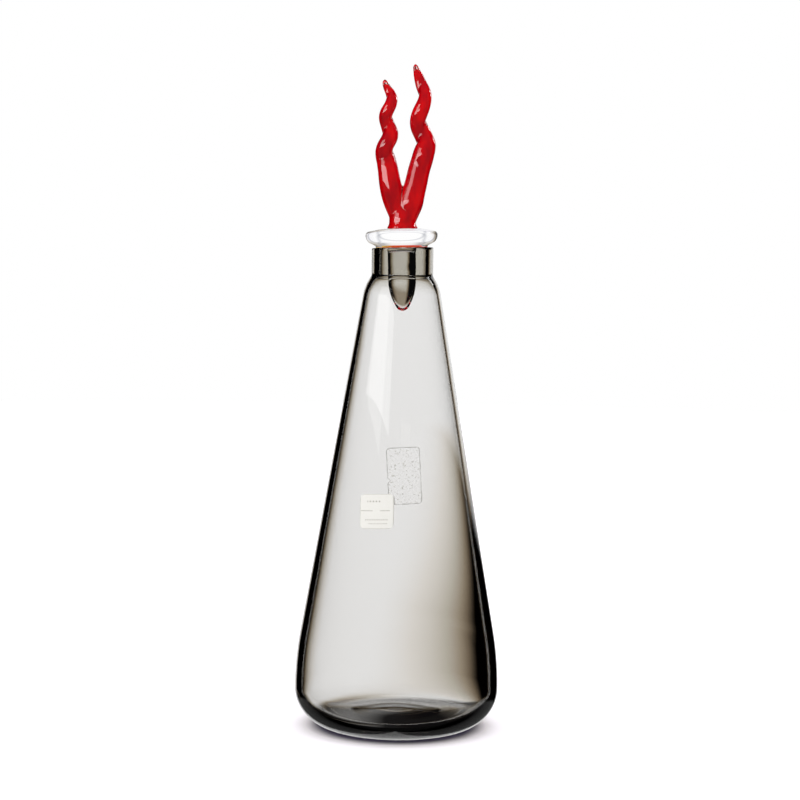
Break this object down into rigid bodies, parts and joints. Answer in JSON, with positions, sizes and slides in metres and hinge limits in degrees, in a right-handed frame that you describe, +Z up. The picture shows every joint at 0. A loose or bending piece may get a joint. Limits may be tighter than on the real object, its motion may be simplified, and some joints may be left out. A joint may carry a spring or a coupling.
{
  "type": "glass bottle with stopper",
  "caption": "Tapered smoke-glass bottle with a short thick neck, closed by a loose clear stopper whose red finial is a forked pair of corkscrew horns.",
  "frame": {"origin": "on the bottle's axis, in the plane of the ring it stands on", "axes": "+Z up along the bottle's axis, -Y is the labelled front, +X is the taller horn's side"},
  "size_m": [0.1132, 0.1132, 0.3662],
  "materials": {
    "smoke_glass": "polished, warm grey, clear",
    "clear_glass": "polished, colourless",
    "red_glass": "polished, deep ruby",
    "label_paper": "matt ivory paper",
    "label_film": "clear thin film"
  },
  "bodies": {
    "root": {"bottle": "smoke_glass", "stopper": "clear_glass", "finial": "red_glass", "paper_sticker": "label_paper", "film_label": "label_film"}
  },
  "joints": []
}
